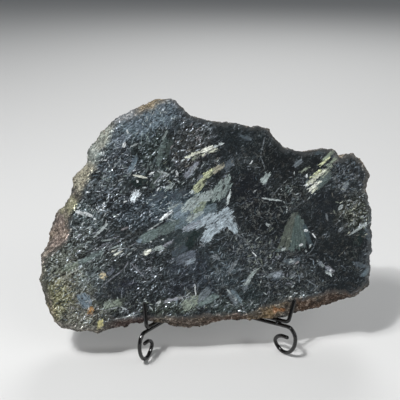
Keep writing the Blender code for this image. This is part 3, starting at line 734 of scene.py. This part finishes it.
def paintSlab(piece, kinds):
    places = pointPlaces(piece)
    points = places[:, (0, 2)] * perMetre
    depth = places[:, 1] - faceSet["planeY"]
    # the rind's staining, with painted highlight where light catches its upper left
    rindStainsAndHighlight = spreadPatches(points, rindBase, rindPatches)
    rindStainsAndHighlight[:, 3] *= np.clip(paintSet["rindFull"] - depth / paintSet["rindDepth"], 0, 1)
    webs = [(*row[:4], 0, "#000000", *row[4:]) for row in webPatches]
    webs = spreadPatches(points, ("#000000", webBase), webs)[:, 3]
    reach = rimReach(places, depth, paintSet["wornReach"]) * perMetre
    setAttribute(piece, "ground", "FLOAT_COLOR", "POINT", spreadPatches(points, groundBase, groundPatches))
    setAttribute(piece, "rind", "FLOAT_COLOR", "POINT", rindStainsAndHighlight)
    setAttribute(piece, "webs", "FLOAT", "POINT", webs)
    setAttribute(piece, "rimReach", "FLOAT", "POINT", reach)
    for name in crystalSet:
        layLaths(piece, kinds, name)
    print("slab painted")


paintSlab(slab, slabKinds)
standUp(slab, -faceSet["lean"])
keepInside(slab)
onlyThis(slab)
bpy.ops.object.shade_smooth_by_angle(angle=slabSet["smoothUnder"])
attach(slab, "root")
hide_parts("slab")


def stonePlace(add):
    # millimetres across the face, up it, and out of it
    spot = add("TexCoord")
    turn = (faceSet["lean"] - math.pi / 2, 0, 0)
    inputs = {"Vector": spot.outputs["Object"], "Rotation": turn, "Scale": (perMetre,) * 3}
    return add("Mapping", inputs)


# the tiny needles of the felt
needleSet = {
    "turn": (0, 1, -1.6, 0.4),  # from chance to radians
    "least": 0.2,  # half a needle's length, as shares of its full length: the least, and what chance adds
    "more": 0.4,
    "edge": (-0.15, 0.15),  # mm over which a needle fades out
    "light": (0, 1, -0.9, 1.3),  # from chance to the darkest and the palest needle
}


def needleField(add, place, cell, length, width):
    # one tiny needle to a cell, each turned its own way: how pale or dark it is, and nothing between them
    spot = add("TexVoronoi", (place, 1 / cell), voronoi_dimensions="2D")
    chance = add("SeparateColor", (spot.outputs["Color"],))
    local = add("VectorMath", (place, spot.outputs["Position"]), "SUBTRACT")
    angle = add("MapRange", (chance.outputs["Red"], *needleSet["turn"]))
    turned = add("VectorRotate", {"Vector": local, "Angle": angle}, rotation_type="Z_AXIS")
    part = add("SeparateXYZ", (turned,))
    along, across = [add("Math", (part.outputs[way],), "ABSOLUTE") for way in "XY"]
    lengths = (chance.outputs["Green"], length * needleSet["more"], length * needleSet["least"])
    reach = add("Math", lengths, "MULTIPLY_ADD")
    endGap = add("Math", (reach, along), "SUBTRACT")
    sideGap = add("Math", (width / 2, across), "SUBTRACT")
    gap = add("Math", (endGap, sideGap), "MINIMUM")
    mask = add("MapRange", (gap, *needleSet["edge"]), interpolation_type="SMOOTHSTEP")
    light = add("MapRange", (chance.outputs["Blue"], *needleSet["light"]))
    return add("Math", (mask, light), "MULTIPLY")


# what the crystals share: the noise that bends them, the streaks along them, and how their edges fray
fibreSet = {
    "bend": (3.0, 0.65),  # detail and roughness
    "bendScale": 0.55,  # for a warp of 1 mm
    "bendReach": 4,  # the noise stays near its middle, so it is drawn out this much
    "lay": (0.2, 1.25, 1.0),  # draws the streaks out along the crystal
    "streaks": (1.1, 4.0, 0.75),
    "streakBand": (0.38, 0.63),
    "frayMiddle": 0.6,
    "frayEnds": 2.6,
    "fraySides": 1.0,
    "taperPower": 3.0,
}


def crystalLayer(add, place, name):
    # how far this spot is inside its crystal, the crystal's own colour, and the shade of the streaks along it
    own = crystalSet[name]
    warp = own["warp"]
    field, sizes, tone = [add("Attribute", attribute_name=name + part) for part in ("Frame", "Size", "Tone")]
    noise = add("TexNoise", (place, fibreSet["bendScale"] / warp**0.5, *fibreSet["bend"]))
    shift = add("VectorMath", (noise.outputs["Color"], (noiseMiddle,) * 3), "SUBTRACT")
    drawn = (warp * fibreSet["bendReach"], warp * fibreSet["bendReach"], 0.0)
    bent = add("VectorMath", (shift, drawn, field.outputs["Vector"]), "MULTIPLY_ADD")
    spot = add("SeparateXYZ", (bent,))
    size = add("SeparateXYZ", (sizes.outputs["Vector"],))
    lay = add("VectorMath", (bent, fibreSet["lay"]), "MULTIPLY")
    noise = add("TexNoise", (lay, *fibreSet["streaks"]))
    streak = add("MapRange", (noise, *fibreSet["streakBand"]))
    uneven = add("Math", (streak, fibreSet["frayMiddle"]), "SUBTRACT")
    fray = add("Math", (uneven, size.outputs["Z"]), "MULTIPLY")
    along, across = [add("Math", (spot.outputs[way],), "ABSOLUTE") for way in "XY"]
    ratio = add("Math", (along, size.outputs["X"]), "DIVIDE", use_clamp=True)
    raised = add("Math", (ratio, fibreSet["taperPower"]), "POWER")
    taper = add("Math", (raised, -own["taper"], 1.0), "MULTIPLY_ADD")
    halfWidth = add("Math", (size.outputs["Y"], taper), "MULTIPLY")
    gaps = []
    for reach, far, frayed in ((size.outputs["X"], along, "frayEnds"), (halfWidth, across, "fraySides")):
        inside = add("Math", (reach, far), "SUBTRACT")
        gaps.append(add("Math", (fray, fibreSet[frayed], inside), "MULTIPLY_ADD"))
    gap = add("Math", gaps, "MINIMUM")
    inside = add("MapRange", (gap, -own["soft"], own["soft"]), interpolation_type="SMOOTHSTEP")
    mask = add("Math", (inside, tone.outputs["Alpha"]), "MULTIPLY")
    shade = add("Math", (streak, own["pale"], own["dark"]), "MULTIPLY_ADD")
    return mask, tone.outputs["Color"], shade


def paledColour(add, base, factor, tinted, glint):
    # the base times the factor, but what is paler than the tinted share goes towards the glint's grey
    low = add("Math", (factor, tinted), "MINIMUM")
    scaled = add("VectorMath", (base, low), "SCALE")
    over = add("Math", (factor, low), "SUBTRACT")
    pale = add("VectorMath", (hexToLinear(glint), over), "SCALE")
    return add("VectorMath", (scaled, pale), "ADD")


webSet = {
    "tone": "#9ba09c",
    "crook": (0.30, 5.0, 0.62),
    "crookReach": (11.0, 11.0, 0.0),
    "nets": ((7.0, 0.45, 1.0), (3.6, 0.51, 0.55)),  # cell in mm, noise below which it is broken, strength
    "thread": (0.05, 0.32),  # mm from a thread's middle at which it starts to fade and is gone
    "breaks": 2.2,  # to a cell
    "breakDetail": 3.0,
    "breakFade": 0.08,
}


def webLines(add, place):
    # a broken net of hair-thin pale threads, crooked and only here and there closed
    crook = add("TexNoise", (place, *webSet["crook"]))
    bent = add("VectorMath", (crook.outputs["Color"], webSet["crookReach"], place), "MULTIPLY_ADD")
    lines = 0.0
    for cell, seen, strong in webSet["nets"]:
        net = add("TexVoronoi", (bent, 1 / cell), voronoi_dimensions="2D", feature="DISTANCE_TO_EDGE")
        near, far = webSet["thread"]
        line = add("MapRange", (net, near / cell, far / cell, 1, 0))
        breaks = add("TexNoise", (place, webSet["breaks"] / cell, webSet["breakDetail"]))
        shown = add("MapRange", (breaks, seen, seen + webSet["breakFade"]))
        for share in (shown, strong):
            line = add("Math", (line, share), "MULTIPLY")
        lines = add("Math", (line, lines), "MAXIMUM")
    strength = add("Attribute", attribute_name="webs")
    return add("Math", (lines, strength.outputs["Fac"]), "MULTIPLY")


# polished nuummite: a black rock of fine felted amphibole, cut flat and polished to a wet gloss,
# in which paler fibrous blades flash grey-green, ice blue and gold
polishSet = {
    "ior": 1.62,
    "roughness": 0.17,
    # cell, length, width and weight of the tiny needles, in mm, as coarse as they need to be to show
    "needles": ((3.4, 5.6, 0.62, 1.3), (2.1, 3.6, 0.56, 1.2), (1.3, 1.9, 0.55, 0.95)),
    "mottle": (0.75, 2.0, 0.7),
    "mottleDepth": 3.0,
    "sheafLay": {"Scale": (10.0, 2.4, 1.0), "Rotation": (0, 0, 0.62)},  # mm along a sheaf and across it
    "sheaves": {"Scale": 1.0, "Detail": 4.0, "Distortion": 1.2},
    "sheafDepth": 4.5,
    "even": -4.25,  # brings mottle and sheaves back to nothing on the whole
    "contrast": 1.6,
    "calm": -0.7,  # what the soft crystals take away from the felt
    "tinted": 1.3,  # needles paler than this many times the ground lose its tint
    "glint": "#434549",
    "tintPatches": (0.3, 3.0),
    "tints": ("#f2fdf6", "#f8f5ff"),
    "feltOver": 0.2,  # how much of the felt shows on the bright crystals and the needles
    "rimWear": (0.5, 3.8),  # mm in from the edge over which the polish gives way to the rind
    "rimPatches": (0.35, 4.0, 0.7),
    "rimUneven": (7.0, -3.5),  # mm that its patches shift the wear, and what centres them
    "rimMost": 0.8,
    "rimRough": 0.5,
    "brightRough": 0.08,
}


def layNoise(add, place, lay, noise):
    # noise drawn out one way, as fibres lie
    drawn = add("Mapping", {"Vector": place, **lay}, vector_type="TEXTURE")
    return add("TexNoise", {"Vector": drawn, **noise})


def feltField(add, place):
    # how far each spot of the felted rock is paler or darker than its ground: mottle, sheaves, single needles
    mottle = add("TexNoise", (place, *polishSet["mottle"]))
    field = add("Math", (mottle, polishSet["mottleDepth"], polishSet["even"]), "MULTIPLY_ADD")
    sheaves = layNoise(add, place, polishSet["sheafLay"], polishSet["sheaves"])
    field = add("Math", (sheaves, polishSet["sheafDepth"], field), "MULTIPLY_ADD")
    for cell, length, width, weight in polishSet["needles"]:
        scatter = needleField(add, place, cell, length, width)
        field = add("Math", (scatter, weight, field), "MULTIPLY_ADD")
    return field


def wornRim(add, place):
    # how far the polish has given way to the rind along the edge
    reach = add("Attribute", attribute_name="rimReach")
    patchy = add("TexNoise", (place, *polishSet["rimPatches"]))
    offset = add("Math", (patchy, *polishSet["rimUneven"]), "MULTIPLY_ADD")
    inward = add("Math", (reach.outputs["Fac"], offset), "ADD")
    return add("MapRange", (inward, *polishSet["rimWear"], polishSet["rimMost"], 0))


def polishedStone():
    material, add, shader = newMaterial("polished nuummite")
    place = stonePlace(add)
    field = feltField(add, place)

    # the ground and the soft crystals in it, felted with needles
    # the ground's paler upper left carries painted sheen as well as the rock's own felt
    ground = add("Attribute", attribute_name="ground")
    mask, tone, shade = crystalLayer(add, place, "soft")
    own = add("VectorMath", (tone, shade), "SCALE")
    base = add("Mix", (mask, ground.outputs["Color"], own), data_type="RGBA")
    calm = add("Math", (mask, polishSet["calm"], 1.0), "MULTIPLY_ADD")
    power = field
    for share in (ground.outputs["Alpha"], calm, polishSet["contrast"]):
        power = add("Math", (power, share), "MULTIPLY")
    factor = add("Math", (power,), "EXPONENT")
    felted = paledColour(add, base, factor, polishSet["tinted"], polishSet["glint"])
    drift = add("TexNoise", (place, *polishSet["tintPatches"]))
    tint = add("Mix", (drift, *map(solid, polishSet["tints"])), data_type="RGBA")
    colour = add("VectorMath", (felted, tint), "MULTIPLY")

    # the webs, the bright crystals and the placed needles over it, and the worn rim
    colour = add("Mix", (webLines(add, place), colour, solid(webSet["tone"])), data_type="RGBA")
    masks = {}
    # the bright crystals' colour carries their iridescent flash as painted sheen
    for name in ("bright", "needle"):
        masks[name], tone, shade = crystalLayer(add, place, name)
        shade = add("Math", (field, polishSet["feltOver"], shade), "MULTIPLY_ADD")
        own = add("VectorMath", (tone, shade), "SCALE")
        colour = add("Mix", (masks[name], colour, own), data_type="RGBA")
    worn = wornRim(add, place)
    rindStainAndHighlight = add("Attribute", attribute_name="rind")
    rough = add("VectorMath", (rindStainAndHighlight.outputs["Color"], factor), "SCALE")
    colour = add("Mix", (worn, colour, rough), data_type="RGBA")

    # the fibrous blades take a slightly softer polish than the black ground, and the worn rim hardly any
    gloss = polishSet["roughness"]
    for mask, duller in ((worn, polishSet["rimRough"]), (masks["bright"], polishSet["brightRough"])):
        gloss = add("Math", (mask, duller, gloss), "MULTIPLY_ADD")
    setInputs(shader, {"Base Color": colour, "Roughness": gloss, "IOR": polishSet["ior"]})
    return material


# natural rind: broken, weathered rock, dull and gritty, stained from tan and rust to grey-green
rindSet = {
    "rock": ((0.36, "#2c3032"), (0.47, "#45433f"), (0.55, "#5a5248"), (0.62, "#6b5e49"), (0.70, "#7d796f")),
    "rockPatches": (0.075, 4.0, 0.65),
    "stainAndHighlightPatches": (0.25, 3.0),
    "stained": (0.24, 0.40),
    "grains": ((2.0, 1.1), (1.2, 1.2)),  # size in mm and weight
    "clouds": ((0.3, 2.4), (0.7, 3.2), (1.5, 3.2)),  # scale per mm and weight
    "cloudDetail": 2.0,
    "tinted": 1.3,
    "pale": "#56534f",
    "roughness": 0.85,
    "grit": (1.6, 4.0, 0.7),
    "gritBump": {"Strength": 0.6, "Distance": 0.0006},
}


def roughRind():
    material, add, shader = newMaterial("weathered rind")
    place = stonePlace(add)
    wide = add("TexNoise", (place, *rindSet["rockPatches"]))
    rock = add("ValToRGB", (wide,))
    stops = rock.color_ramp.elements
    while len(stops) < len(rindSet["rock"]):
        stops.new(1.0)
    for stop, (position, code) in zip(stops, rindSet["rock"]):
        stop.position = position
        stop.color = solid(code)
    # the rind colour over the rock: staining, and on the upper left partly painted highlight
    tone = add("Attribute", attribute_name="rind")
    cloud = add("TexNoise", (place, *rindSet["stainAndHighlightPatches"]))
    uneven = add("MapRange", (cloud, *rindSet["stained"]))
    rindStainAndHighlight = add("Math", (uneven, tone.outputs["Alpha"]), "MULTIPLY")
    base = add("Mix", (rindStainAndHighlight, rock, tone.outputs["Color"]), data_type="RGBA")

    # grains as the broken face of the rock shows them, each with its own paleness, and clouds over them
    field = 0.0
    for size, weight in rindSet["grains"]:
        grain = add("TexVoronoi", (place, 1 / size))
        chance = add("SeparateColor", (grain.outputs["Color"],))
        centred = add("Math", (chance.outputs["Red"], noiseMiddle), "SUBTRACT")
        field = add("Math", (centred, weight, field), "MULTIPLY_ADD")
    for scale, weight in rindSet["clouds"]:
        cloud = add("TexNoise", (place, scale, rindSet["cloudDetail"]))
        centred = add("Math", (cloud, noiseMiddle), "SUBTRACT")
        field = add("Math", (centred, weight, field), "MULTIPLY_ADD")
    factor = add("Math", (field,), "EXPONENT")
    colour = paledColour(add, base, factor, rindSet["tinted"], rindSet["pale"])
    height = add("TexNoise", (place, *rindSet["grit"]))
    bump = add("Bump", {"Height": height, **rindSet["gritBump"]})
    setInputs(shader, {"Base Color": colour, "Roughness": rindSet["roughness"], "Normal": bump})
    return material


# sawn back: the same felted rock as the saw left it, dull grey with pale blades and the saw's arcs across it
sawnSet = {
    "ground": "#3b4042",
    "blades": "#7b7f7c",
    "bladeLay": {"Scale": (44.0, 11.0, 1.0), "Rotation": (0, 0, 0.45)},  # mm along a blade and across it
    "bladeNoise": {"Scale": 1.0, "Detail": 4.0, "Distortion": 0.8},
    "bladeBand": (0.55, 0.66),
    "felt": 0.42,
    "sawCentre": (40.0, 210.0, 0.0),  # mm, from the middle of the face's foot to the saw's axle, below it
    "sawSpacing": 4.5,  # mm between arcs, as coarse as they need to be to show
    "ringUnit": 0.314,  # a wave texture's rings come this share of its unit apart
    "arcs": (1.5, 3.0, 0.4),  # distortion, detail, detail scale
    "arcPatches": (0.05, 3.0),
    "arcBand": (0.35, 0.62),
    "sawShade": (0.32, 0.90),  # what a mark adds to the shade between marks, and that shade
    "sawBump": {"Strength": 0.5, "Distance": 0.0003},
    "roughness": 0.62,
}


def sawnBack():
    material, add, shader = newMaterial("sawn nuummite")
    place = stonePlace(add)
    blades = layNoise(add, place, sawnSet["bladeLay"], sawnSet["bladeNoise"])
    shown = add("MapRange", (blades, *sawnSet["bladeBand"]))
    base = add("Mix", (shown, solid(sawnSet["ground"]), solid(sawnSet["blades"])), data_type="RGBA")
    power = add("Math", (feltField(add, place), sawnSet["felt"]), "MULTIPLY")
    factor = add("Math", (power,), "EXPONENT")
    felted = add("VectorMath", (base, factor), "SCALE")

    around = add("Mapping", {"Vector": place, "Location": sawnSet["sawCentre"]})
    rings = (around, sawnSet["ringUnit"] / sawnSet["sawSpacing"], *sawnSet["arcs"])
    arcs = add("TexWave", rings, wave_type="RINGS", rings_direction="Z")
    patchy = add("TexNoise", (place, *sawnSet["arcPatches"]))
    seen = add("MapRange", (patchy, *sawnSet["arcBand"]))
    marks = add("Math", (arcs, seen), "MULTIPLY")
    paler = add("Math", (marks, *sawnSet["sawShade"]), "MULTIPLY_ADD")
    colour = add("VectorMath", (felted, paler), "SCALE")
    bump = add("Bump", {"Height": marks, **sawnSet["sawBump"]})
    setInputs(shader, {"Base Color": colour, "Roughness": sawnSet["roughness"], "Normal": bump})
    return material


for material in (polishedStone(), roughRind(), sawnBack()):
    slab.data.materials.append(material)
print("slab finished")

# easel: round black wire, with the small nuggets that its welding left
wireSet = {
    "fuller": 0.00009,  # the smoothed tube is drawn back out to the wire's real thickness
    # middle and radius of each nugget, in mm
    "welds": {
        "left_leg": ((-42.6, -43.6, 22.6, 1.5), (-40.6, -44.6, 22.9, 1.3), (-34.9, -28.7, 17.2, 1.5)),
        "right_leg": ((50.0, -44.3, 22.7, 1.4), (51.8, -43.7, 22.9, 1.5), (39.9, -29.0, 17.3, 1.6)),
        "rear_leg": ((1.9, 18.8, 119.5, 1.7), (4.9, 18.8, 119.5, 1.7), (3.4, 18.2, 121.5, 1.4)),
        "cross_bar": ((-12.7, 4.6, 75.8, 1.6), (17.7, 4.6, 75.8, 1.6)),
    },
    "weldFaces": {"segments": 20, "ring_count": 12},
    "weldLumps": 0.0012,
    "weldUneven": 0.0007,
}

# black lacquer over iron: near-black and glossy, but slightly orange-peeled, so highlights break up a little
lacquerSet = {
    "colour": "#0a0909",
    "ior": 1.56,
    "patches": (160.0, 3.0),
    "gloss": (0, 1, 0.05, 0.17),  # from the patches to the roughness
    "peel": (900.0, 2.0),
    "peelBump": {"Strength": 0.07, "Distance": 0.0002},
}


def blackLacquer():
    material, add, shader = newMaterial("black lacquered iron")
    spot = add("TexCoord").outputs["Object"]
    patchy = add("TexNoise", (spot, *lacquerSet["patches"]))
    gloss = add("MapRange", (patchy, *lacquerSet["gloss"]))
    peel = add("TexNoise", (spot, *lacquerSet["peel"]))
    bump = add("Bump", {"Height": peel, **lacquerSet["peelBump"]})
    setInputs(shader, {"Base Color": solid(lacquerSet["colour"]), "IOR": lacquerSet["ior"]})
    setInputs(shader, {"Roughness": gloss, "Normal": bump})
    return material


def makeWeld(place, radius):
    bpy.ops.object.select_all(action="DESELECT")
    spot = [millimetre / perMetre for millimetre in place]
    bpy.ops.mesh.primitive_uv_sphere_add(radius=radius / perMetre, location=spot, **wireSet["weldFaces"])
    weld = bpy.context.object
    bpy.ops.object.transform_apply(location=True, rotation=False, scale=False)
    applyModifier(
        weld, "lumps", "DISPLACE", texture=cloudTexture("weld", wireSet["weldLumps"]),
        strength=wireSet["weldUneven"], mid_level=noiseMiddle,
    )
    return weld


def makeWire(node, material):
    wire = mergedCopy(node, "iron_" + node)
    editWhole(wire, bpy.ops.mesh.tris_convert_to_quads)
    applyModifier(wire, "round", "SUBSURF", levels=2, render_levels=2)
    applyModifier(wire, "fuller", "DISPLACE", strength=wireSet["fuller"], mid_level=0.0)
    keepInside(wire)
    welds = [makeWeld(place, radius) for *place, radius in wireSet["welds"].get(node, ())]
    onlyThis(wire)
    for weld in welds:
        weld.select_set(True)
    if welds:
        bpy.ops.object.join()
    bpy.ops.object.shade_smooth()
    wire.data.materials.clear()
    wire.data.materials.append(material)
    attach(wire, "root")
    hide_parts(node)


lacquer = blackLacquer()
for node in ("left_leg", "right_leg", "left_hook", "right_hook", "cross_bar", "rear_leg"):
    makeWire(node, lacquer)
print("easel finished")

# plain studio; places and sizes in metres
stageSet = {
    "floor": "#d6d6d5",
    "floorSize": 6.0,
    "floorPlace": (0, 0, -0.0001),  # just below the feet
    "floorRoughness": 0.7,
    "world": "#8e9296",
    "worldPower": 0.45,
    "aim": (0, 0, 0.08),
    # name, place, size and power of each lamp
    "lamps": (
        ("key", (-0.55, -0.35, 1.25), 0.30, 11.0),
        ("spark", (-0.50, -0.40, 1.15), 0.05, 5.5),
        ("fill", (1.1, -0.9, 0.9), 1.2, 8.0),
        ("rim", (0.3, 1.2, 1.2), 0.8, 10.0),
    ),
}


def makeStage():
    bpy.ops.object.select_all(action="DESELECT")
    bpy.ops.mesh.primitive_plane_add(size=stageSet["floorSize"], location=stageSet["floorPlace"])
    floor = bpy.context.object
    floor.name = "floor"
    material, add, shader = newMaterial("pale floor")
    setInputs(shader, {"Base Color": solid(stageSet["floor"]), "Roughness": stageSet["floorRoughness"]})
    floor.data.materials.append(material)
    world = bpy.data.worlds.new("studio")
    world.use_nodes = True
    shade = world.node_tree.nodes["Background"]
    setInputs(shade, {"Color": solid(stageSet["world"]), "Strength": stageSet["worldPower"]})
    bpy.context.scene.world = world
    for name, place, size, power in stageSet["lamps"]:
        data = bpy.data.lights.new(name, "AREA")
        data.size = size
        data.energy = power
        lamp = bpy.data.objects.new(name, data)
        lamp.location = place
        lamp.rotation_euler = (Vector(stageSet["aim"]) - Vector(place)).to_track_quat("-Z", "Y").to_euler()
        bpy.context.scene.collection.objects.link(lamp)
    bpy.context.scene.view_settings.view_transform = "Standard"


makeStage()
print("studio lit")
